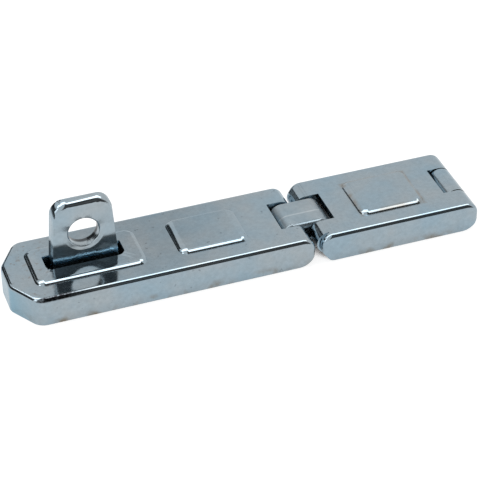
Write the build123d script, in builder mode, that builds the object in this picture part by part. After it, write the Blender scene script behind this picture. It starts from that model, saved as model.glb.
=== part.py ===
# Double-jointed hasp with its staple, pressed and rolled from zinc-plated steel sheet.
# It lies closed on the door: X runs from the free end of the long arm to the fixed hinge,
# Y runs across the hasp and Z stands up off the door. All sizes are in millimetres.
import os

from build123d import *

os.makedirs("parts", exist_ok=True)

# Sheet, pins and the knuckles rolled round them
sheet = 2.5
pin_diameter = 5.0
pin_clearance = 0.05
pin_end_gap = 0.1
knuckle_lift = 2.4
ear_gap = 1.5
notch_gap = 0.6
notch_side_gap = 0.6
ear_slit = 0.4
roll_turn = 285

# Arms: two pressed trays, open below
arm_width = 40.5
top_edge_radius = 1.8
nose_flat = 13.8
nose_length = 8.3
nose_corner_radius = 6.0
long_heel_land = 0.3
short_heel_land = 0.6
short_toe_setback = 3.8
short_toe_radius = 5.2
short_toe_run = 3.9
short_toe_rise = 5.0
short_toe_blend = 3.0

# Raised pads pressed up out of the arms, each the same height
pad_raise = 1.4
pad_slope = 36
pad_corner_radius = 3.6
pad_top_chamfer = 0.9
pad_recess_inset = 1.2
lock_pad_border_x = 7.1
lock_pad_border_front = 8.9
lock_pad_border_back = 7.4
label_pad_length = 29.4
label_pad_width = 23.4
short_pad_length = 28.5
short_pad_width = 24.2

# Plain stretches of sheet along the arms, from the free end to the fixed hinge
nose_to_lock_pad = 10.2
lock_pad_to_label_pad = 13.1
label_pad_to_notch = 14.25
notch_to_short_pad = 10.65
short_pad_to_notch = 9.7

# Link and fixed leaf
link_width = 16.8
link_edge_chamfer = 1.2
link_seam = 0.3
leaf_tongue_width = 16.0
leaf_side_gap = 1.25
leaf_toe_gap = 3.6
leaf_joggle_start = 11.5
leaf_joggle_end = 7.0
leaf_joggle_radius = 2.0
leaf_corner_radius = 3.0
leaf_screw_inset_x = 6.7
leaf_screw_inset_y = 6.0

# Staple: an eye bent up from its screw plate
eye_thickness = 5.0
eye_foot_width = 27.5
eye_narrowing = 0.07
eye_height_over_pad = 26.4
eye_corner_radius = 6.5
eye_crown = 1.7
eye_edge_chamfer = 0.4
eye_bend_radius = 2.0
shackle_hole_diameter = 12.6
shackle_hole_height_over_pad = 11.9
shackle_hole_chamfer = 0.6
slot_back_gap = 0.5
slot_front_gap = 2.2
slot_near_gap = 1.4
slot_far_gap = 2.5
slot_front_corner_radius = 2.8
slot_back_corner_radius = 0.8
slot_front_bevel = 1.3
slot_edge_bevel = 0.4
staple_side_gap = 2.75
staple_window_gap = 1.0
staple_ear_width = 10.4
staple_corner_cut = 5.0
staple_screw_inset = 5.4

# Screw holes, countersunk for the heads
screw_hole_diameter = 5.2
screw_head_diameter = 8.4
screw_head_angle = 90

# How near an edge or a corner has to be to count as the one that is meant
touch = 0.001

# Heights and radii that follow
bore_radius = pin_diameter / 2 + pin_clearance
knuckle_radius = bore_radius + sheet
arm_height = knuckle_lift + 2 * knuckle_radius
pin_height = knuckle_lift + knuckle_radius
pad_top = arm_height + pad_raise
ceiling = arm_height - sheet
half_width = arm_width / 2
inner_half_width = half_width - sheet
notch_reach = knuckle_radius + notch_gap
link_notch_width = link_width + 2 * notch_side_gap
leaf_notch_width = leaf_tongue_width + 2 * notch_side_gap

# Slot and pad round the eye
slot_length = slot_far_gap + eye_foot_width + slot_near_gap
slot_width = slot_front_gap + eye_thickness + slot_back_gap
lock_pad_length = slot_length + 2 * lock_pad_border_x
lock_pad_width = lock_pad_border_front + slot_width + lock_pad_border_back

# Places along X, with the middle of the whole hasp at zero
long_arm_reach = (nose_to_lock_pad + lock_pad_length + lock_pad_to_label_pad
                  + label_pad_length + label_pad_to_notch + notch_reach)
pin_spacing = 2 * knuckle_radius + ear_gap
short_arm_reach = (notch_reach + notch_to_short_pad + short_pad_length
                   + short_pad_to_notch + notch_reach)
overall_length = long_arm_reach + pin_spacing + short_arm_reach + knuckle_radius
nose_x = -overall_length / 2
long_pin_x = nose_x + long_arm_reach
short_pin_x = long_pin_x + pin_spacing
leaf_pin_x = short_pin_x + short_arm_reach
tail_x = leaf_pin_x + knuckle_radius
lock_pad_x = nose_x + nose_to_lock_pad + lock_pad_length / 2
label_pad_x = lock_pad_x + lock_pad_length / 2 + lock_pad_to_label_pad + label_pad_length / 2
short_pad_x = short_pin_x + notch_reach + notch_to_short_pad + short_pad_length / 2
eye_x = lock_pad_x
slot_x = eye_x - (slot_far_gap - slot_near_gap) / 2
slot_y = (lock_pad_border_front - lock_pad_border_back) / 2
eye_back_y = slot_y + slot_width / 2 - slot_back_gap
eye_front_y = eye_back_y - eye_thickness


def tray(outline_points, corner_points, end_radii):
    """Block of an arm with rounded upper edges, hollowed from below and open at its hinge ends.
    end_radii gives the roll at each hinge end by its X; the rounded edge runs on round that roll."""
    with BuildPart() as block:
        with BuildSketch(Plane.XY):
            with BuildLine():
                Polyline(outline_points, close=True)
            make_face()
            if corner_points:
                rounded = [v for v in vertices() if (v.X, v.Y) in corner_points]
                fillet(rounded, nose_corner_radius)
        extrude(amount=arm_height)
        for end_x, radius in end_radii.items():
            end_edge = block.edges().group_by(Axis.Z)[-1]
            fillet(end_edge.filter_by_position(Axis.X, end_x - touch, end_x + touch), radius)
        top = block.faces().sort_by(Axis.Z)[-1]
        rolls = [
            edge for edge in top.edges().filter_by(Axis.Y)
            for end_x, radius in end_radii.items() if abs(abs(edge.center().X - end_x) - radius) < touch
        ]
        fillet([edge for edge in top.edges() if edge not in rolls], top_edge_radius)
        with BuildSketch(Plane.XY):
            with BuildLine():
                Polyline(outline_points, close=True)
            make_face()
            offset(amount=-sheet, kind=Kind.INTERSECTION, mode=Mode.REPLACE)
            with Locations([(end_x, 0) for end_x in end_radii]):
                Rectangle(2 * sheet, 2 * inner_half_width)
        extrude(amount=ceiling, mode=Mode.SUBTRACT)
    return block.part


def raise_pad(x, length, width):
    """Press a pad up out of the sheet: a sloping block on top and the matching recess below."""
    with BuildSketch(Plane.XY.offset(arm_height)) as pad_base:
        with Locations((x, 0)):
            RectangleRounded(length, width, pad_corner_radius)
    pad = extrude(pad_base.sketch, amount=pad_raise, taper=pad_slope)
    reach = pad.bounding_box()
    near_pad = edges().filter_by_position(Axis.X, reach.min.X - touch, reach.max.X + touch)
    chamfer(near_pad.filter_by_position(Axis.Z, pad_top - touch, pad_top + touch), pad_top_chamfer)
    with BuildSketch(Plane.XY.offset(ceiling)) as recess_base:
        with Locations((x, 0)):
            RectangleRounded(
                length - 2 * pad_recess_inset, width - 2 * pad_recess_inset, pad_corner_radius
            )
    extrude(recess_base.sketch, amount=pad_raise, taper=pad_slope, mode=Mode.SUBTRACT)


def roll_ears(pin_x, notch_width, outward):
    """Cut the notch at a hinge end and roll the sheet on each side of it round the pin.
    outward is 1 where the arm ends on the right of the pin and -1 on the left."""
    with BuildSketch(Plane.XY) as notch:
        with Locations((pin_x + outward * (sheet + knuckle_radius - notch_reach) / 2, 0)):
            Rectangle(notch_reach + knuckle_radius + sheet, notch_width)
    extrude(notch.sketch, amount=pad_top, mode=Mode.SUBTRACT)
    ear_width = inner_half_width - ear_slit - notch_width / 2
    for side in (-1, 1):
        ear_start = side * notch_width / 2
        with BuildSketch(Plane.XZ.offset(-ear_start)) as roll:
            with BuildLine():
                outer = CenterArc((pin_x, pin_height), knuckle_radius, 90, -outward * roll_turn)
                inner = CenterArc((pin_x, pin_height), bore_radius, 90, -outward * roll_turn)
                Line(outer @ 0, inner @ 0)
                Line(outer @ 1, inner @ 1)
            make_face()
        extrude(roll.sketch, amount=-side * ear_width)


def slot_outline(height, front_bevel, edge_bevel):
    """Outline of the slot for the eye at a height, wider by the bevels along its front and its other sides."""
    with BuildSketch(Plane.XY.offset(height)) as outline:
        with Locations((slot_x, slot_y + (edge_bevel - front_bevel) / 2)):
            Rectangle(slot_length + 2 * edge_bevel, slot_width + front_bevel + edge_bevel)
        front_corners = vertices().group_by(Axis.Y)[0]
        fillet(front_corners, slot_front_corner_radius)
        fillet(vertices().group_by(Axis.Y)[-1], slot_back_corner_radius)
    return outline


# Long arm: tray with a blunt pointed nose, slotted lock pad, label pad and one hinge end
long_end_x = long_pin_x + knuckle_radius
nose_points = [(nose_x, -nose_flat / 2), (nose_x, nose_flat / 2)]
shoulder_points = [(nose_x + nose_length, half_width), (nose_x + nose_length, -half_width)]
long_outline = [
    nose_points[0], nose_points[1], shoulder_points[0],
    (long_end_x, half_width), (long_end_x, -half_width), shoulder_points[1],
]
with BuildPart() as long_arm:
    add(tray(long_outline, nose_points + shoulder_points, {long_end_x: knuckle_radius}))
    with BuildSketch(Plane.XZ):
        heel_radius = pin_height - long_heel_land
        with BuildLine():
            roll = CenterArc((long_pin_x, pin_height), knuckle_radius, 0, 90)
            heel = CenterArc((long_end_x - heel_radius, heel_radius), heel_radius, -90, 90)
            Line(heel @ 1, roll @ 0)
            Polyline(roll @ 1, (nose_x, arm_height), (nose_x, 0), heel @ 0)
        make_face()
    extrude(amount=half_width, both=True, mode=Mode.INTERSECT)
    raise_pad(lock_pad_x, lock_pad_length, lock_pad_width)
    raise_pad(label_pad_x, label_pad_length, label_pad_width)
    add(slot_outline(0, 0, 0).sketch)
    extrude(amount=pad_top, mode=Mode.SUBTRACT)
    add(slot_outline(pad_top - slot_front_bevel, 0, 0).sketch)
    add(slot_outline(pad_top, slot_front_bevel, slot_edge_bevel).sketch)
    loft(mode=Mode.SUBTRACT)
    roll_ears(long_pin_x, link_notch_width, 1)
long_arm.part.label = "long_arm"
export_step(long_arm.part, "parts/long_arm.step")

# Short arm: tray with a bare raised pad and a hinge at each end
short_toe_x = short_pin_x - short_toe_setback
short_outline = [
    (short_toe_x, -half_width), (short_toe_x, half_width),
    (tail_x, half_width), (tail_x, -half_width),
]
with BuildPart() as short_arm:
    add(tray(short_outline, [], {short_toe_x: short_toe_radius, tail_x: knuckle_radius}))
    with BuildSketch(Plane.XZ):
        heel_radius = pin_height - short_heel_land
        with BuildLine():
            roll = CenterArc((leaf_pin_x, pin_height), knuckle_radius, 0, 90)
            heel = CenterArc((tail_x - heel_radius, heel_radius), heel_radius, -90, 90)
            toe = CenterArc(
                (short_toe_x + short_toe_radius, arm_height - short_toe_radius), short_toe_radius, 90, 90
            )
            Line(heel @ 1, roll @ 0)
            Line(roll @ 1, toe @ 0)
            Polyline(toe @ 1, (short_toe_x, short_toe_rise), (short_toe_x + short_toe_run, 0), heel @ 0)
        make_face()
        toe_points = [(short_toe_x, short_toe_rise), (short_toe_x + short_toe_run, 0)]
        fillet([vertices().sort_by_distance(point)[0] for point in toe_points], short_toe_blend)
    extrude(amount=half_width, both=True, mode=Mode.INTERSECT)
    raise_pad(short_pad_x, short_pad_length, short_pad_width)
    roll_ears(short_pin_x, link_notch_width, -1)
    roll_ears(leaf_pin_x, leaf_notch_width, 1)
short_arm.part.label = "short_arm"
export_step(short_arm.part, "parts/short_arm.step")

# Link: one strip wrapped round both pins, its ends meeting in a seam underneath
link_x = (long_pin_x + short_pin_x) / 2
with BuildPart() as link:
    with BuildSketch(Plane.XZ):
        with Locations((link_x, pin_height)):
            SlotCenterToCenter(pin_spacing, 2 * knuckle_radius)
            SlotCenterToCenter(pin_spacing, 2 * bore_radius, mode=Mode.SUBTRACT)
    extrude(amount=link_width / 2, both=True)
    rims = link.faces().filter_by(Axis.Y)
    chamfer([e for face in rims for e in face.outer_wire().edges()], link_edge_chamfer)
    with BuildSketch(Plane.XY):
        with Locations((link_x, 0)):
            Rectangle(link_seam, link_width)
    extrude(amount=pin_height, mode=Mode.SUBTRACT)
link.part.label = "link"
export_step(link.part, "parts/link.step")

# Hinge pins, held endways between the side walls of the arms
pin_length = 2 * (inner_half_width - pin_end_gap)
pin_places = {"long_pin": long_pin_x, "short_pin": short_pin_x, "leaf_pin": leaf_pin_x}
for pin_name, pin_x in pin_places.items():
    with BuildPart() as pin:
        with BuildSketch(Plane.XZ):
            with Locations((pin_x, pin_height)):
                Circle(pin_diameter / 2)
        extrude(amount=pin_length / 2, both=True)
    pin.part.label = pin_name
    export_step(pin.part, f"parts/{pin_name}.step")

# Fixed leaf: screw plate under the short arm, its tongue lifted and rolled round the leaf pin
leaf_from = short_pin_x + notch_reach + leaf_toe_gap
leaf_to = leaf_pin_x - leaf_joggle_start
leaf_length = leaf_to - leaf_from
leaf_width = 2 * (inner_half_width - leaf_side_gap)
leaf_x = (leaf_from + leaf_to) / 2
leaf_screw_spacing_x = leaf_length - 2 * leaf_screw_inset_x
leaf_screw_spacing_y = leaf_width - 2 * leaf_screw_inset_y
with BuildPart() as fixed_leaf:
    with BuildSketch(Plane.XY):
        with Locations((leaf_x, 0)):
            RectangleRounded(leaf_length, leaf_width, leaf_corner_radius)
    extrude(amount=sheet)
    with BuildSketch(Plane.XZ):
        roll_middle = bore_radius + sheet / 2
        with BuildLine():
            FilletPolyline(
                (leaf_x, sheet / 2),
                (leaf_to, sheet / 2),
                (leaf_pin_x - leaf_joggle_end, knuckle_lift + sheet / 2),
                (leaf_pin_x, knuckle_lift + sheet / 2),
                radius=leaf_joggle_radius,
            )
            CenterArc((leaf_pin_x, pin_height), roll_middle, -90, roll_turn)
        trace(line_width=sheet)
    extrude(amount=leaf_tongue_width / 2, both=True)
    with Locations((leaf_x, 0, sheet)):
        with GridLocations(leaf_screw_spacing_x, leaf_screw_spacing_y, 2, 2):
            CounterSinkHole(
                screw_hole_diameter / 2, screw_head_diameter / 2, sheet, screw_head_angle
            )
fixed_leaf.part.label = "fixed_leaf"
export_step(fixed_leaf.part, "parts/fixed_leaf.step")

# Staple: the eye is cut free on three sides, bent up out of its plate and pierced for the shackle
eye_top = pad_top + eye_height_over_pad
eye_root_width = eye_foot_width + 2 * eye_narrowing * pad_top
eye_top_width = eye_foot_width - 2 * eye_narrowing * eye_height_over_pad
bend_y = eye_back_y + eye_bend_radius
staple_width = 2 * (inner_half_width - staple_side_gap)
staple_window = eye_root_width + 2 * staple_window_gap
staple_length = staple_window + 2 * staple_ear_width
hole_z = pad_top + shackle_hole_height_over_pad
eye_outlines = []
for depth, side_inset, top_drop in ((eye_crown, 0, 0), (0, eye_edge_chamfer, eye_crown)):
    with BuildSketch(Plane.XZ.offset(-(eye_front_y + depth))) as eye_outline:
        half_root = eye_root_width / 2 - side_inset
        half_top = eye_top_width / 2 - side_inset
        with BuildLine():
            Polyline(
                (eye_x - half_root, 0), (eye_x - half_top, eye_top - top_drop),
                (eye_x + half_top, eye_top - top_drop), (eye_x + half_root, 0),
                close=True,
            )
        make_face()
        fillet(vertices().group_by(Axis.Y)[-1], eye_corner_radius)
    eye_outlines.append(eye_outline.sketch)
with BuildPart() as eye_blank:
    extrude(eye_outlines[0], amount=-staple_width)
    loft(eye_outlines)
with BuildPart() as staple:
    with BuildSketch(Plane.YZ.offset(eye_x)):
        with BuildLine():
            Polyline(
                (eye_front_y, eye_top), (eye_back_y, eye_top), (eye_back_y, eye_thickness),
                (staple_width / 2, eye_thickness), (staple_width / 2, 0), (eye_front_y, 0),
                close=True,
            )
        make_face()
        inner_corner = vertices().sort_by_distance((eye_back_y, eye_thickness))[0]
        fillet(inner_corner, eye_bend_radius)
        outer_corner = vertices().sort_by_distance((eye_front_y, 0))[0]
        fillet(outer_corner, eye_bend_radius + eye_thickness)
        chamfer(vertices().sort_by_distance((eye_back_y, eye_top))[0], eye_edge_chamfer)
    extrude(amount=eye_root_width / 2, both=True)
    add(eye_blank.part, mode=Mode.INTERSECT)
    with BuildSketch(Plane.XY):
        with Locations((eye_x, 0)):
            Rectangle(staple_length, staple_width)
            chamfer(vertices(), staple_corner_cut)
        with Locations((eye_x, (bend_y - staple_width / 2) / 2)):
            Rectangle(staple_window, staple_width / 2 + bend_y, mode=Mode.SUBTRACT)
    extrude(amount=eye_thickness)
    with BuildSketch(Plane.XZ.offset(-eye_back_y)):
        with Locations((eye_x, hole_z)):
            Circle(shackle_hole_diameter / 2)
    extrude(amount=eye_thickness, mode=Mode.SUBTRACT)
    hole_rims = staple.edges().filter_by(GeomType.CIRCLE).filter_by(
        lambda e: abs(e.radius - shackle_hole_diameter / 2) < touch
    )
    chamfer(hole_rims, shackle_hole_chamfer)
    staple_screw_spacing_x = staple_length - 2 * staple_screw_inset
    staple_screw_spacing_y = staple_width - 2 * staple_screw_inset
    with Locations((eye_x, 0, eye_thickness)):
        with GridLocations(staple_screw_spacing_x, staple_screw_spacing_y, 2, 2):
            CounterSinkHole(
                screw_hole_diameter / 2, screw_head_diameter / 2, eye_thickness, screw_head_angle
            )
staple.part.label = "staple"
export_step(staple.part, "parts/staple.step")
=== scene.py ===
import math

import bpy
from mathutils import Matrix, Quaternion, Vector


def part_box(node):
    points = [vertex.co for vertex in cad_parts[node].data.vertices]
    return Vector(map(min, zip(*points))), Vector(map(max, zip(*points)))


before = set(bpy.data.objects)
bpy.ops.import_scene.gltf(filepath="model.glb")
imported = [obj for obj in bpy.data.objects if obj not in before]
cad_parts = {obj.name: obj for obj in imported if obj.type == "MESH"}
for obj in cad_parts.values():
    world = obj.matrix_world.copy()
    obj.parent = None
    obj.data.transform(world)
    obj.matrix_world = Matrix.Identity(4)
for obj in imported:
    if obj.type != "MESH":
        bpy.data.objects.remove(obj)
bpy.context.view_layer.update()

# The staple is the fixed half of the lock: an upright eye for the shackle, bent from a screw plate.
# It is stamped from 5 mm steel strip, its edges tumbled round, then barrel plated with bright zinc.
# Two screws hold the plate to the door frame, where the long arm covers it.


def linear(hex_colour):
    """An sRGB hex colour as linear red, green, blue and full alpha."""
    parts = [int(hex_colour[place:place + 2], 16) / 255 for place in (1, 3, 5)]
    curve = [part / 12.92 if part <= 0.04045 else ((part + 0.055) / 1.055) ** 2.4 for part in parts]
    return (*curve, 1.0)


def per_metre(millimetres):
    """The texture scale that gives a pattern this real size."""
    return 1000.0 / millimetres


def add(tree, kind, links=None, **settings):
    """Adds one node; links sets its sockets, each to a value or to another node's output."""
    made = tree.nodes.new("ShaderNode" + kind)
    for name, value in settings.items():
        setattr(made, name, value)
    for name, value in (links or {}).items():
        if isinstance(value, bpy.types.NodeSocket):
            tree.links.new(value, made.inputs[name])
        else:
            made.inputs[name].default_value = value
    return made


def bright_zinc(name, shift, roughness, wave_height, stain_height,
                dull_from=None, dull_to=None, dulling=0.0):
    """Bright zinc over pressed steel, with a thin blue passivation.

    To the eye it is a slightly blue mirror with a soft mottle. The sheet's own waves bend what it mirrors,
    handling leaves fine dull scratches, and tan stains gather up to stain_height over the lower edge.
    From dull_from up to dull_to, if they are given, it is rougher by dulling.
    shift moves the patterns, so that no two pieces share them.
    """
    material = bpy.data.materials.new(name)
    material.use_nodes = True
    tree = material.node_tree
    shader = tree.nodes["Principled BSDF"]
    shader.inputs["Metallic"].default_value = 1.0

    place = add(tree, "TexCoord").outputs["Object"]
    moved = add(tree, "Mapping", {"Vector": place, "Location": shift}).outputs["Vector"]

    # The passivation film drifts from blue to a warmer grey over about 16 mm, with a 1.5 mm mottle on top.
    drift = add(tree, "TexNoise", {"Vector": moved, "Scale": per_metre(16.0), "Detail": 3.0}).outputs["Fac"]
    film = add(tree, "ValToRGB", {"Fac": drift})
    film.color_ramp.elements[0].position = 0.34
    film.color_ramp.elements[0].color = linear("#A6BCC9")
    film.color_ramp.elements[1].position = 0.68
    film.color_ramp.elements[1].color = linear("#B3BEC4")
    mottle = add(tree, "TexNoise", {"Vector": moved, "Scale": per_metre(1.5), "Detail": 4.0}).outputs["Fac"]
    cloud = add(tree, "MapRange", {"Value": mottle, "From Min": 0.3, "From Max": 0.7,
                                   "To Min": 0.93, "To Max": 1.05}).outputs["Result"]
    plated = add(tree, "Mix", {"Factor": 1.0, "A": film.outputs["Color"], "B": cloud},
                 data_type="RGBA", blend_type="MULTIPLY")

    # Fine scratches run at two slants, each about 0.25 mm wide and 12 mm long.
    scratch = None
    for slant in (0.5, -1.1):
        turned = add(tree, "Mapping", {"Vector": moved, "Rotation": (0.0, 0.0, slant),
                                       "Scale": (per_metre(12.0), per_metre(0.25), per_metre(6.0))})
        streak = add(tree, "TexNoise", {"Vector": turned.outputs["Vector"], "Scale": 1.0, "Detail": 1.0})
        line = add(tree, "MapRange", {"Value": streak.outputs["Fac"], "From Min": 0.69, "From Max": 0.76})
        if scratch is None:
            scratch = line.outputs["Result"]
        else:
            scratch = add(tree, "Math", {0: scratch, 1: line.outputs["Result"]},
                          operation="MAXIMUM").outputs["Value"]

    # Tan stains start at the cut lower edge and fade upwards in patches of about 7 mm.
    height = add(tree, "SeparateXYZ", {"Vector": place}).outputs["Z"]
    low = add(tree, "MapRange", {"Value": height, "From Min": 0.0, "From Max": stain_height,
                                 "To Min": 1.0, "To Max": 0.0}).outputs["Result"]
    blot = add(tree, "TexNoise", {"Vector": moved, "Scale": per_metre(7.0), "Detail": 5.0}).outputs["Fac"]
    patch = add(tree, "MapRange", {"Value": blot, "From Min": 0.52, "From Max": 0.68}).outputs["Result"]
    stain = add(tree, "Math", {0: low, 1: patch}, operation="MULTIPLY").outputs["Value"]
    finish = add(tree, "Mix", {"Factor": stain, "A": plated.outputs["Result"], "B": linear("#8E8474")},
                 data_type="RGBA")
    tree.links.new(finish.outputs["Result"], shader.inputs["Base Color"])

    # Roughness: the polish varies over about 8 mm, and scratches and stains are duller.
    best_polish, worst_polish = 0.75, 1.3
    dull_blend, dull_end = 0.004, 0.0008
    scratch_dulling, stain_dulling = 0.14, 0.25
    polish = add(tree, "TexNoise", {"Vector": moved, "Scale": per_metre(8.0), "Detail": 4.0}).outputs["Fac"]
    gloss = add(tree, "MapRange", {"Value": polish, "From Min": 0.3, "From Max": 0.7,
                                   "To Min": roughness * best_polish,
                                   "To Max": roughness * worst_polish}).outputs["Result"]
    if dull_from is not None:
        rise = add(tree, "MapRange", {"Value": height, "From Min": dull_from - dull_blend,
                                      "From Max": dull_from + dull_blend})
        fall = add(tree, "MapRange", {"Value": height, "From Min": dull_to - dull_end, "From Max": dull_to,
                                      "To Min": dulling, "To Max": 0.0})
        gloss = add(tree, "Math", {0: rise.outputs["Result"], 1: fall.outputs["Result"], 2: gloss},
                    operation="MULTIPLY_ADD").outputs["Value"]
    worn = add(tree, "Math", {0: scratch, 1: scratch_dulling, 2: gloss},
               operation="MULTIPLY_ADD").outputs["Value"]
    dull = add(tree, "Math", {0: stain, 1: stain_dulling, 2: worn},
               operation="MULTIPLY_ADD").outputs["Value"]
    tree.links.new(dull, shader.inputs["Roughness"])

    # Bump: the sheet's waves over about 14 mm, and a 1 mm orange peel under the plating.
    peel_height = 0.000004
    wave = add(tree, "TexNoise", {"Vector": moved, "Scale": per_metre(14.0), "Detail": 1.0}).outputs["Fac"]
    sheet_wave = add(tree, "Bump", {"Height": wave, "Strength": 1.0, "Distance": wave_height})
    peel = add(tree, "TexNoise", {"Vector": moved, "Scale": per_metre(1.0), "Detail": 2.0}).outputs["Fac"]
    surface = add(tree, "Bump", {"Height": peel, "Strength": 1.0, "Distance": peel_height,
                                 "Normal": sheet_wave.outputs["Normal"]})
    tree.links.new(surface.outputs["Normal"], shader.inputs["Normal"])
    return material


def finish_node(node, material, flatness=85):
    """Gives a CAD node its finish, its rounds shaded smooth; over 50, flatness keeps its flats flat."""
    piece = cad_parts[node]
    piece.data.materials.clear()
    piece.data.materials.append(material)
    piece.data.polygons.foreach_set("use_smooth", [True] * len(piece.data.polygons))
    weld = piece.modifiers.new("joined_facets", "WELD")
    weld.merge_threshold = 0.000002
    crease = piece.modifiers.new("sharp_edges", "EDGE_SPLIT")
    crease.split_angle = math.radians(50.0)
    flats = piece.modifiers.new("true_flats", "WEIGHTED_NORMAL")
    flats.mode = "FACE_AREA"
    flats.weight = flatness
    flats.thresh = 0.000005
    flats.keep_sharp = True


eye_zinc = bright_zinc("bright_zinc_on_stamped_eye", shift=(0.3, 0.1, 0.0), roughness=0.09,
                       wave_height=0.000004, stain_height=0.0005,
                       dull_from=0.012, dull_to=0.0385, dulling=0.11)
finish_node("staple", eye_zinc, flatness=50)

# The shackle hole is punched: the front of its wall is burnished bright, the rear broke away rough and
# duller, and it is painted dark as shade deep in the hole.
hole_x, hole_z = -0.0645, 0.0258
hole_radius = 0.0063
wall_inside, wall_outside = 0.00005, 0.0002
break_y = 0.0017
break_blend = 0.0004
hole_rear_darkness = 0.85
eye_tree = eye_zinc.node_tree
eye_spot = add(eye_tree, "SeparateXYZ", {"Vector": add(eye_tree, "TexCoord").outputs["Object"]})
aside = add(eye_tree, "Math", {0: eye_spot.outputs["X"], 1: hole_x}, operation="SUBTRACT")
above = add(eye_tree, "Math", {0: eye_spot.outputs["Z"], 1: hole_z}, operation="SUBTRACT")
from_axis = add(eye_tree, "CombineXYZ", {"X": aside.outputs["Value"], "Y": above.outputs["Value"]})
reach = add(eye_tree, "VectorMath", {0: from_axis.outputs["Vector"]}, operation="LENGTH")
in_hole = add(eye_tree, "MapRange", {"Value": reach.outputs["Value"], "From Min": hole_radius + wall_inside,
                                     "From Max": hole_radius + wall_outside,
                                     "To Min": hole_rear_darkness, "To Max": 0.0})
broken_wall = add(eye_tree, "MapRange", {"Value": eye_spot.outputs["Y"], "From Min": break_y - break_blend,
                                         "From Max": break_y + break_blend})
hole_rear_dark = add(eye_tree, "Math", {0: in_hole.outputs["Result"], 1: broken_wall.outputs["Result"]},
           operation="MULTIPLY")

# The whole eye's film is painted a little paler than the arms': painted light that lightens what its face
# mirrors.
eye_paleness = 0.12
eye_base = eye_tree.nodes["Principled BSDF"].inputs["Base Color"]
paler_eye = add(eye_tree, "Mix", {"Factor": eye_paleness, "A": eye_base.links[0].from_socket,
                               "B": linear("#D8DFE2")}, data_type="RGBA")
# The rear of the hole's wall is painted near black: painted shade deep in the hole, over the broken zone's
# own duller tone.
shaded_hole_rear = add(eye_tree, "Mix", {"Factor": hole_rear_dark.outputs["Value"], "A": paler_eye.outputs["Result"],
                                  "B": linear("#2E3235")}, data_type="RGBA")

# A paler blue is painted across the eye's foot, just over the slot: a painted highlight that brightens the
# slot's edge mirrored in the face there.
foot_low, foot_top = 0.0095, 0.0165
foot_blend = 0.0015
foot_highlight_blueness = 0.8
foot_rise = add(eye_tree, "MapRange", {"Value": eye_spot.outputs["Z"], "From Min": foot_low - foot_blend,
                                       "From Max": foot_low})
foot_fall = add(eye_tree, "MapRange", {"Value": eye_spot.outputs["Z"], "From Min": foot_top - foot_blend,
                                       "From Max": foot_top, "To Min": foot_highlight_blueness, "To Max": 0.0})
foot = add(eye_tree, "Math", {0: foot_rise.outputs["Result"], 1: foot_fall.outputs["Result"]},
           operation="MULTIPLY")
# Painted highlight: the foot's base colour goes paler and bluer.
painted_foot_highlight = add(eye_tree, "Mix", {"Factor": foot.outputs["Value"], "A": shaded_hole_rear.outputs["Result"],
                                  "B": linear("#B0D4E8")}, data_type="RGBA")
eye_tree.links.new(painted_foot_highlight.outputs["Result"], eye_base)

# The press bows the face back a little over the hole's lower half, and the punch dishes it under the hole.
# Both tip it upwards there, so it mirrors the table past the arm and stays light down to the hole's rim.
bow_low, bow_high = 0.0203, 0.0285
bow_depth = 0.00065
dish_radius = 0.0083
dish_depth = 0.0004
dish_full, dish_none = -0.007, -0.0005
bow = add(eye_tree, "MapRange", {"Value": eye_spot.outputs["Z"], "From Min": bow_low, "From Max": bow_high,
                                 "To Min": bow_depth, "To Max": 0.0}, interpolation_type="SMOOTHSTEP")
dish = add(eye_tree, "MapRange", {"Value": reach.outputs["Value"], "From Min": hole_radius,
                                  "From Max": dish_radius, "To Min": -dish_depth, "To Max": 0.0})
under_hole = add(eye_tree, "MapRange", {"Value": above.outputs["Value"], "From Min": dish_full,
                                        "From Max": dish_none, "To Min": 1.0, "To Max": 0.0},
                 interpolation_type="SMOOTHSTEP")
dished = add(eye_tree, "Math", {0: dish.outputs["Result"], 1: under_hole.outputs["Result"]},
             operation="MULTIPLY")
face_height = add(eye_tree, "Math", {0: bow.outputs["Result"], 1: dished.outputs["Value"]},
                  operation="ADD")
eye_normal = eye_tree.nodes["Principled BSDF"].inputs["Normal"]
pressed_face = add(eye_tree, "Bump", {"Height": face_height.outputs["Value"], "Strength": 1.0,
                                      "Distance": 1.0, "Normal": eye_normal.links[0].from_socket})
eye_tree.links.new(pressed_face.outputs["Normal"], eye_normal)

# The fixed leaf is the screw plate of the other half, a 2.5 mm pressing with a tongue rolled round its pin.
# Plated like the rest, it stays under the short arm, so it is a little duller from the packing.
leaf_zinc = bright_zinc("bright_zinc_on_leaf", shift=(0.0, 0.4, 0.2), roughness=0.16,
                        wave_height=0.00003, stain_height=0.0015)
finish_node("fixed_leaf", leaf_zinc)

# The hinge pins are cut from drawn 5 mm steel wire and pressed in before the ears are closed.
# Bare steel keeps the grey drawing lines along each pin and a film of oil.


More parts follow.
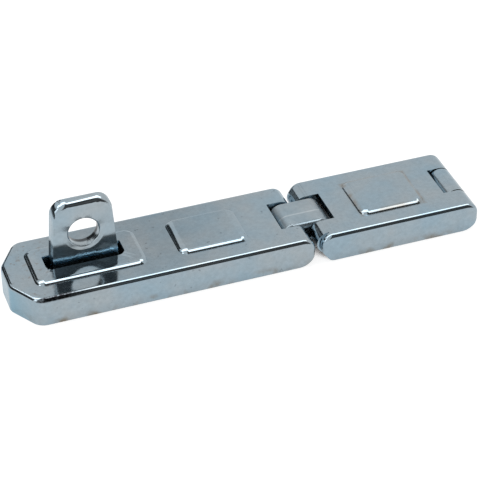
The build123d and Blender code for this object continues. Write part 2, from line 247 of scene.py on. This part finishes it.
def drawn_steel(name):
    """Drawn steel wire: to the eye a darker, greyer metal than zinc, with fine lines along its length."""
    groove_depth = 0.00001
    material = bpy.data.materials.new(name)
    material.use_nodes = True
    tree = material.node_tree
    shader = tree.nodes["Principled BSDF"]
    shader.inputs["Metallic"].default_value = 1.0
    place = add(tree, "TexCoord").outputs["Object"]
    along = add(tree, "Mapping", {"Vector": place,
                                  "Scale": (per_metre(0.4), per_metre(20.0), per_metre(0.4))})
    lines = add(tree, "TexNoise", {"Vector": along.outputs["Vector"], "Scale": 1.0, "Detail": 3.0})
    tone = add(tree, "ValToRGB", {"Fac": lines.outputs["Fac"]})
    tone.color_ramp.elements[0].color = linear("#6F7376")
    tone.color_ramp.elements[1].color = linear("#A3A5A4")
    tree.links.new(tone.outputs["Color"], shader.inputs["Base Color"])
    sheen = add(tree, "MapRange", {"Value": lines.outputs["Fac"], "To Min": 0.22, "To Max": 0.42})
    tree.links.new(sheen.outputs["Result"], shader.inputs["Roughness"])
    grooves = add(tree, "Bump", {"Height": lines.outputs["Fac"], "Strength": 1.0, "Distance": groove_depth})
    tree.links.new(grooves.outputs["Normal"], shader.inputs["Normal"])
    return material


pin_steel = drawn_steel("drawn_pin_steel")
for pin in ("leaf_pin", "short_pin", "long_pin"):
    finish_node(pin, pin_steel)

# The short arm is a 2.5 mm steel tray, drawn in a press tool with a raised pad in its top.
# Ears at both ends are rolled round the leaf pin and the short pin, then the whole is zinc plated.
short_zinc = bright_zinc("bright_zinc_on_short_arm", shift=(0.7, 0.0, 0.5), roughness=0.10,
                         wave_height=0.00002, stain_height=0.003)
finish_node("short_arm", short_zinc)

# Plating liquid dried round the pad's rim and left a broken tan line, 1.5 mm wide and patchy over 5 mm.
short_pad_x = 0.06285
short_pad_half = (0.0136, 0.0114)
rim_width = 0.0015
rim_tan = 0.6
short_tree = short_zinc.node_tree
short_place = add(short_tree, "TexCoord").outputs["Object"]
pad_place = add(short_tree, "Mapping", {"Vector": short_place, "Location": (-short_pad_x, 0.0, 0.0)})
pad_spot = add(short_tree, "SeparateXYZ", {"Vector": pad_place.outputs["Vector"]})
past = []
for axis, half_side in zip("XY", short_pad_half):
    out_from_middle = add(short_tree, "Math", {0: pad_spot.outputs[axis]}, operation="ABSOLUTE")
    past.append(add(short_tree, "Math", {0: out_from_middle.outputs["Value"], 1: half_side},
                    operation="SUBTRACT"))
from_rim = add(short_tree, "Math", {0: past[0].outputs["Value"], 1: past[1].outputs["Value"]},
               operation="MAXIMUM")
off_rim = add(short_tree, "Math", {0: from_rim.outputs["Value"]}, operation="ABSOLUTE")
rim = add(short_tree, "MapRange", {"Value": off_rim.outputs["Value"], "From Max": rim_width,
                                   "To Min": 1.0, "To Max": 0.0})
dried = add(short_tree, "TexNoise", {"Vector": short_place, "Scale": per_metre(5.0), "Detail": 4.0})
broken = add(short_tree, "MapRange", {"Value": dried.outputs["Fac"], "From Min": 0.38, "From Max": 0.6,
                                      "To Max": rim_tan})
rim_stain = add(short_tree, "Math", {0: rim.outputs["Result"], 1: broken.outputs["Result"]},
                operation="MULTIPLY")
short_base = short_tree.nodes["Principled BSDF"].inputs["Base Color"]
stained = add(short_tree, "Mix", {"Factor": rim_stain.outputs["Value"],
                                  "A": short_base.links[0].from_socket,
                                  "B": linear("#94826C")}, data_type="RGBA")
short_tree.links.new(stained.outputs["Result"], short_base)

# The link is one steel strip, wrapped round both of its pins until the ends meet underneath.
# It is zinc plated like the trays, but the rolling tool leaves it matt under the plating.
link_zinc = bright_zinc("bright_zinc_on_link", shift=(0.1, 0.9, 0.3), roughness=0.40,
                        wave_height=0.00002, stain_height=0.001)
finish_node("link", link_zinc)

# Matt, its film is a little darker and less blue than the trays'.
# One faint pale line runs along the strip, a little in front of the middle.
pale_line_y = -0.0012
pale_line_width = 0.0005
pale_line_strength = 0.45
link_tree = link_zinc.node_tree
link_place = add(link_tree, "SeparateXYZ", {"Vector": add(link_tree, "TexCoord").outputs["Object"]})
from_line = add(link_tree, "Math", {0: link_place.outputs["Y"], 1: pale_line_y}, operation="SUBTRACT")
off_line = add(link_tree, "Math", {0: from_line.outputs["Value"]}, operation="ABSOLUTE")
pale_line = add(link_tree, "MapRange", {"Value": off_line.outputs["Value"], "From Max": pale_line_width,
                                        "To Min": pale_line_strength, "To Max": 0.0})
link_base = link_tree.nodes["Principled BSDF"].inputs["Base Color"]
matt_film = add(link_tree, "Mix", {"Factor": 1.0, "A": link_base.links[0].from_socket,
                                   "B": linear("#F6F1EE")}, data_type="RGBA", blend_type="MULTIPLY")
pale_lined = add(link_tree, "Mix", {"Factor": pale_line.outputs["Result"], "A": matt_film.outputs["Result"],
                               "B": linear("#E6ECEE")}, data_type="RGBA")
link_tree.links.new(pale_lined.outputs["Result"], link_base)

# The long arm is the larger tray, with a blunt nose, a slotted pad for the staple and a second pad.
# It is pressed, rolled round the long pin and plated like the short arm, and tan stains its cut lower edge.
long_zinc = bright_zinc("bright_zinc_on_long_arm", shift=(0.0, 0.0, 0.0), roughness=0.10,
                        wave_height=0.00002, stain_height=0.004)
finish_node("long_arm", long_zinc)

# The nose's walls are painted more blue over the last 9 mm: a painted reflection of the cyan they mirror.
nose_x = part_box("long_arm")[0][0]
nose_run = 0.009
nose_reflection_blueness = 0.8
wall_top = 0.0115
wall_blend = 0.001
long_tree = long_zinc.node_tree
long_place = add(long_tree, "TexCoord").outputs["Object"]
long_spot = add(long_tree, "SeparateXYZ", {"Vector": long_place})
near_nose = add(long_tree, "MapRange", {"Value": long_spot.outputs["X"], "From Min": nose_x,
                                        "From Max": nose_x + nose_run,
                                        "To Min": nose_reflection_blueness, "To Max": 0.0})
on_wall = add(long_tree, "MapRange", {"Value": long_spot.outputs["Z"], "From Min": wall_top - wall_blend,
                                      "From Max": wall_top, "To Min": 1.0, "To Max": 0.0})
nose_wall_reflection = add(long_tree, "Math", {0: near_nose.outputs["Result"], 1: on_wall.outputs["Result"]},
                 operation="MULTIPLY")
long_base = long_tree.nodes["Principled BSDF"].inputs["Base Color"]
# Painted reflection: the nose's walls are tinted towards cyan.
painted_nose_reflection = add(long_tree, "Mix", {"Factor": nose_wall_reflection.outputs["Value"], "A": long_base.links[0].from_socket,
                               "B": linear("#8FB8CC")}, data_type="RGBA")

# Handling marks: tan specks of about 2 mm on the nose's top, and sparse dark scuffs of about 3 mm all over.
speck_full, speck_none = nose_x + 0.012, nose_x + 0.026
speck_tan = 0.5
scuff_darkness = 0.35
specks = add(long_tree, "TexNoise", {"Vector": long_place, "Scale": per_metre(2.2), "Detail": 3.0})
speck = add(long_tree, "MapRange", {"Value": specks.outputs["Fac"], "From Min": 0.6, "From Max": 0.72})
speck_run = add(long_tree, "MapRange", {"Value": long_spot.outputs["X"], "From Min": speck_full,
                                        "From Max": speck_none, "To Min": speck_tan, "To Max": 0.0})
speckled = add(long_tree, "Math", {0: speck.outputs["Result"], 1: speck_run.outputs["Result"]},
               operation="MULTIPLY")
on_top = add(long_tree, "Math", {0: 1.0, 1: on_wall.outputs["Result"]}, operation="SUBTRACT")
tan_speck = add(long_tree, "Math", {0: speckled.outputs["Value"], 1: on_top.outputs["Value"]},
                operation="MULTIPLY")
tanned = add(long_tree, "Mix", {"Factor": tan_speck.outputs["Value"], "A": painted_nose_reflection.outputs["Result"],
                                "B": linear("#8C7A66")}, data_type="RGBA")
scuffs = add(long_tree, "TexNoise", {"Vector": long_place, "Scale": per_metre(3.2), "Detail": 2.0})
scuff = add(long_tree, "MapRange", {"Value": scuffs.outputs["Fac"], "From Min": 0.7, "From Max": 0.74,
                                    "To Max": scuff_darkness})
scuffed = add(long_tree, "Mix", {"Factor": scuff.outputs["Result"], "A": tanned.outputs["Result"],
                                 "B": linear("#56616A")}, data_type="RGBA")

# Along the nose's front top edge, from 6 to 32 mm behind the nose, the colour breaks up in dark 1 mm
# mottles.
mottle_from, mottle_to = nose_x + 0.006, nose_x + 0.032
mottle_start_blend, mottle_end_blend = 0.003, 0.012
edge_y, edge_z = -0.0185, 0.0112
edge_blend = 0.0004
least_dark, most_dark = 0.6, 0.97
mottle_start = add(long_tree, "MapRange", {"Value": long_spot.outputs["X"], "From Min": mottle_from,
                                         "From Max": mottle_from + mottle_start_blend})
mottle_end = add(long_tree, "MapRange", {"Value": long_spot.outputs["X"], "From Min": mottle_to - mottle_end_blend,
                                       "From Max": mottle_to, "To Min": 1.0, "To Max": 0.0})
at_front = add(long_tree, "MapRange", {"Value": long_spot.outputs["Y"], "From Min": edge_y - edge_blend,
                                       "From Max": edge_y, "To Min": 1.0, "To Max": 0.0})
at_top = add(long_tree, "MapRange", {"Value": long_spot.outputs["Z"], "From Min": edge_z - edge_blend,
                                     "From Max": edge_z})
marks = add(long_tree, "TexNoise", {"Vector": long_place, "Scale": per_metre(1.0), "Detail": 2.0})
dark_mottle = add(long_tree, "MapRange", {"Value": marks.outputs["Fac"], "From Min": 0.36, "From Max": 0.56,
                                        "To Min": least_dark, "To Max": most_dark}).outputs["Result"]
for limit in (mottle_start, mottle_end, at_front, at_top):
    dark_mottle = add(long_tree, "Math", {0: dark_mottle, 1: limit.outputs["Result"]},
                    operation="MULTIPLY").outputs["Value"]
mottled_edge = add(long_tree, "Mix", {"Factor": dark_mottle, "A": scuffed.outputs["Result"],
                                     "B": linear("#2C2A2E")}, data_type="RGBA")
long_tree.links.new(mottled_edge.outputs["Result"], long_base)

# The hasp lies on a white studio table, which runs on past the frame, 0.2 mm under its lowest faces.
# It is matt, and it glows evenly as if lit from below: brighter to the camera than mirrored in the metal.
# Where the hasp closes over it, a painted shadow darkens it, deeper the more closely it is covered.
table_half = 3.0
table_top = -0.0002
cover_reach = 0.06
cover_dark, cover_clear = 0.04, 0.14
mirrored_glow, seen_glow = 0.53, 0.85
matt_share = 0.31
table_mesh = bpy.data.meshes.new("studio_table")
table_corners = [(-table_half, -table_half), (table_half, -table_half),
                 (table_half, table_half), (-table_half, table_half)]
table_mesh.from_pydata([(x, y, table_top) for x, y in table_corners], [], [(0, 1, 2, 3)])
studio_table = bpy.data.objects.new("studio_table", table_mesh)
bpy.context.scene.collection.objects.link(studio_table)
paint = bpy.data.materials.new("matt_white_table")
paint.use_nodes = True
table_tree = paint.node_tree
table_tree.nodes.clear()
table_rays = add(table_tree, "LightPath")
matt = add(table_tree, "BsdfDiffuse", {"Color": linear("#F4F4F2")})
# Painted shadow: how closely the table is covered cuts its glow and its matt.
cover = add(table_tree, "AmbientOcclusion", {"Distance": cover_reach})
bare = add(table_tree, "MapRange", {"Value": cover.outputs["AO"], "From Min": cover_dark,
                                    "From Max": cover_clear})
lit = add(table_tree, "MapRange", {"Value": table_rays.outputs["Is Camera Ray"],
                                   "To Min": mirrored_glow, "To Max": seen_glow})
strength = add(table_tree, "Math", {0: lit.outputs["Result"], 1: bare.outputs["Result"]},
               operation="MULTIPLY")
glow = add(table_tree, "Emission", {"Color": linear("#FFFFFF"), "Strength": strength.outputs["Value"]})
seen = add(table_tree, "Math", {0: table_rays.outputs["Is Camera Ray"],
                                1: table_rays.outputs["Is Glossy Ray"]}, operation="MAXIMUM")
dimmed = add(table_tree, "Math", {0: bare.outputs["Result"], 1: matt_share}, operation="MULTIPLY")
dim_matt = add(table_tree, "BsdfDiffuse", {"Color": dimmed.outputs["Value"]})
shown = add(table_tree, "AddShader", {0: glow.outputs["Emission"], 1: dim_matt.outputs["BSDF"]})
top = add(table_tree, "MixShader", {0: seen.outputs["Value"], 1: matt.outputs["BSDF"],
                                    2: shown.outputs["Shader"]})
add(table_tree, "OutputMaterial", {"Surface": top.outputs["Shader"]})
table_mesh.materials.append(paint)

# The studio has grey walls, a dark cloth flag in front with one thin spot, and a bright panel at the left.
# Together with a softbox overhead they draw the light and dark bands. A patch of the back wall is in shade.
# Directions are in degrees: azimuth from the front (-Y) towards +X, elevation above the table.
world = bpy.data.worlds.new("grey_studio")
bpy.context.scene.world = world
world.use_nodes = True
sky = world.node_tree
sky.nodes.clear()
wall_level = 0.72
shade_level = wall_level * 0.76
flag_level = 0.07
thin_level = 0.2
panel_level = 2.0
seen_level = 1.0
direction = add(sky, "SeparateXYZ", {"Vector": add(sky, "TexCoord").outputs["Generated"]})
backwards = add(sky, "Math", {0: direction.outputs["Y"], 1: -1.0}, operation="MULTIPLY")
azimuth = add(sky, "Math", {0: direction.outputs["X"], 1: backwards.outputs["Value"]}, operation="ARCTAN2")
elevation = add(sky, "Math", {0: direction.outputs["Z"]}, operation="ARCSINE")


def band(angle, low, high, soft):
    """One inside low to high degrees of the angle, fading to zero over soft degrees at both ends."""
    rise = add(sky, "MapRange", {"Value": angle.outputs["Value"], "From Min": math.radians(low - soft),
                                 "From Max": math.radians(low)})
    fall = add(sky, "MapRange", {"Value": angle.outputs["Value"], "From Min": math.radians(high),
                                 "From Max": math.radians(high + soft), "To Min": 1.0, "To Max": 0.0})
    return add(sky, "Math", {0: rise.outputs["Result"], 1: fall.outputs["Result"]}, operation="MULTIPLY")


def wall_patch(across, upright):
    """One on a patch of the studio: across is its band of azimuth, upright its band of elevation."""
    return add(sky, "Math", {0: band(azimuth, *across).outputs["Value"],
                             1: band(elevation, *upright).outputs["Value"]}, operation="MULTIPLY")


front_flag = wall_patch((-5, 56, 4), (-5, 79, 3))
shade = wall_patch((163.0, 166.3, 2.8), (33.5, 37.9, 0.7))
thin_spot = wall_patch((9, 18, 2), (35.5, 39, 1.5))
side_panel = wall_patch((-78, -60, 2), (14, 42, 2))
wall = add(sky, "MapRange", {"Value": shade.outputs["Value"], "To Min": wall_level, "To Max": shade_level})
flag = add(sky, "MapRange", {"Value": thin_spot.outputs["Value"], "To Min": flag_level,
                             "To Max": thin_level})
flagged = add(sky, "Mix", {"Factor": front_flag.outputs["Value"], "A": wall.outputs["Result"],
                           "B": flag.outputs["Result"]})
studio = add(sky, "Mix", {"Factor": side_panel.outputs["Value"], "A": flagged.outputs["Result"],
                          "B": panel_level})
level = add(sky, "Mix", {"Factor": add(sky, "LightPath").outputs["Is Camera Ray"],
                         "A": studio.outputs["Result"], "B": seen_level})
light = add(sky, "Background", {"Color": linear("#FFFFFF"), "Strength": level.outputs["Result"]})
add(sky, "OutputWorld", {"Surface": light.outputs["Background"]})

# The softbox hangs 0.9 m up, over the nose and a little behind; its level is the brightness of its cloth.
softbox_level = 1.9
softbox_place = (-0.1, 0.15, 0.9)
softbox = bpy.data.lights.new("softbox", "AREA")
softbox.shape = "RECTANGLE"
softbox.size = 1.7
softbox.size_y = 0.44
softbox.energy = softbox_level * math.pi * softbox.size * softbox.size_y
lamp = bpy.data.objects.new("softbox", softbox)
lamp.location = softbox_place
bpy.context.scene.collection.objects.link(lamp)

# A folded black card stands behind and beside the nose and draws the dark left edges in the metal.
# The panel at its right end is grey, with a black strip above it.
# It is out of the picture: the camera does not see it, and it takes no light from the table.
card_foot = [(-0.11, 0.3), (-0.235, 0.3), (-0.42, 0.3), (-0.5, 0.12), (-0.5, -0.06)]
card_heights = [0.2, 0.2, 0.24, 0.33, 0.33]
strip_top = 0.31
count = len(card_foot)
card_points = [(x, y, 0.0) for x, y in card_foot]
card_points += [(x, y, z) for (x, y), z in zip(card_foot, card_heights)]
card_points += [(x, y, strip_top) for x, y in card_foot[:2]]
card_faces = [(fold, fold + 1, fold + count + 1, fold + count) for fold in range(count - 1)]
card_faces.append((count, count + 1, 2 * count + 1, 2 * count))
card_mesh = bpy.data.meshes.new("black_card")
card_mesh.from_pydata(card_points, [], card_faces)
black_card = bpy.data.objects.new("black_card", card_mesh)
bpy.context.scene.collection.objects.link(black_card)
black_card.visible_camera = False
black_card.visible_shadow = False
black_card.visible_diffuse = False
for paper_name, paper_colour in (("matt_black_card", "#2A2C2E"), ("matt_grey_card", "#74787B")):
    paper = bpy.data.materials.new(paper_name)
    paper.use_nodes = True
    paper_shader = paper.node_tree.nodes["Principled BSDF"]
    paper_shader.inputs["Base Color"].default_value = linear(paper_colour)
    paper_shader.inputs["Roughness"].default_value = 0.9
    card_mesh.materials.append(paper)
card_mesh.polygons[0].material_index = 1

# The camera stands where the photographer's did: a long lens, 37 degrees up and 19 degrees to the left.
aim = Vector((0.00242, 0.00577, 0.0))
distance = 0.7742
camera_azimuth = math.radians(-19.42)
camera_elevation = math.radians(36.83)
camera_roll = math.radians(-0.49)
back = Vector((math.sin(camera_azimuth) * math.cos(camera_elevation),
               -math.cos(camera_azimuth) * math.cos(camera_elevation), math.sin(camera_elevation)))
lens = bpy.data.cameras.new("camera")
lens.sensor_width = 36.0
lens.lens = 141.28
camera = bpy.data.objects.new("camera", lens)
camera.location = aim + back * distance
camera.rotation_mode = "QUATERNION"
camera.rotation_quaternion = (-back).to_track_quat("-Z", "Y") @ Quaternion((0, 0, 1), camera_roll)
bpy.context.scene.collection.objects.link(camera)
bpy.context.scene.camera = camera

bpy.context.scene.view_settings.view_transform = "Standard"
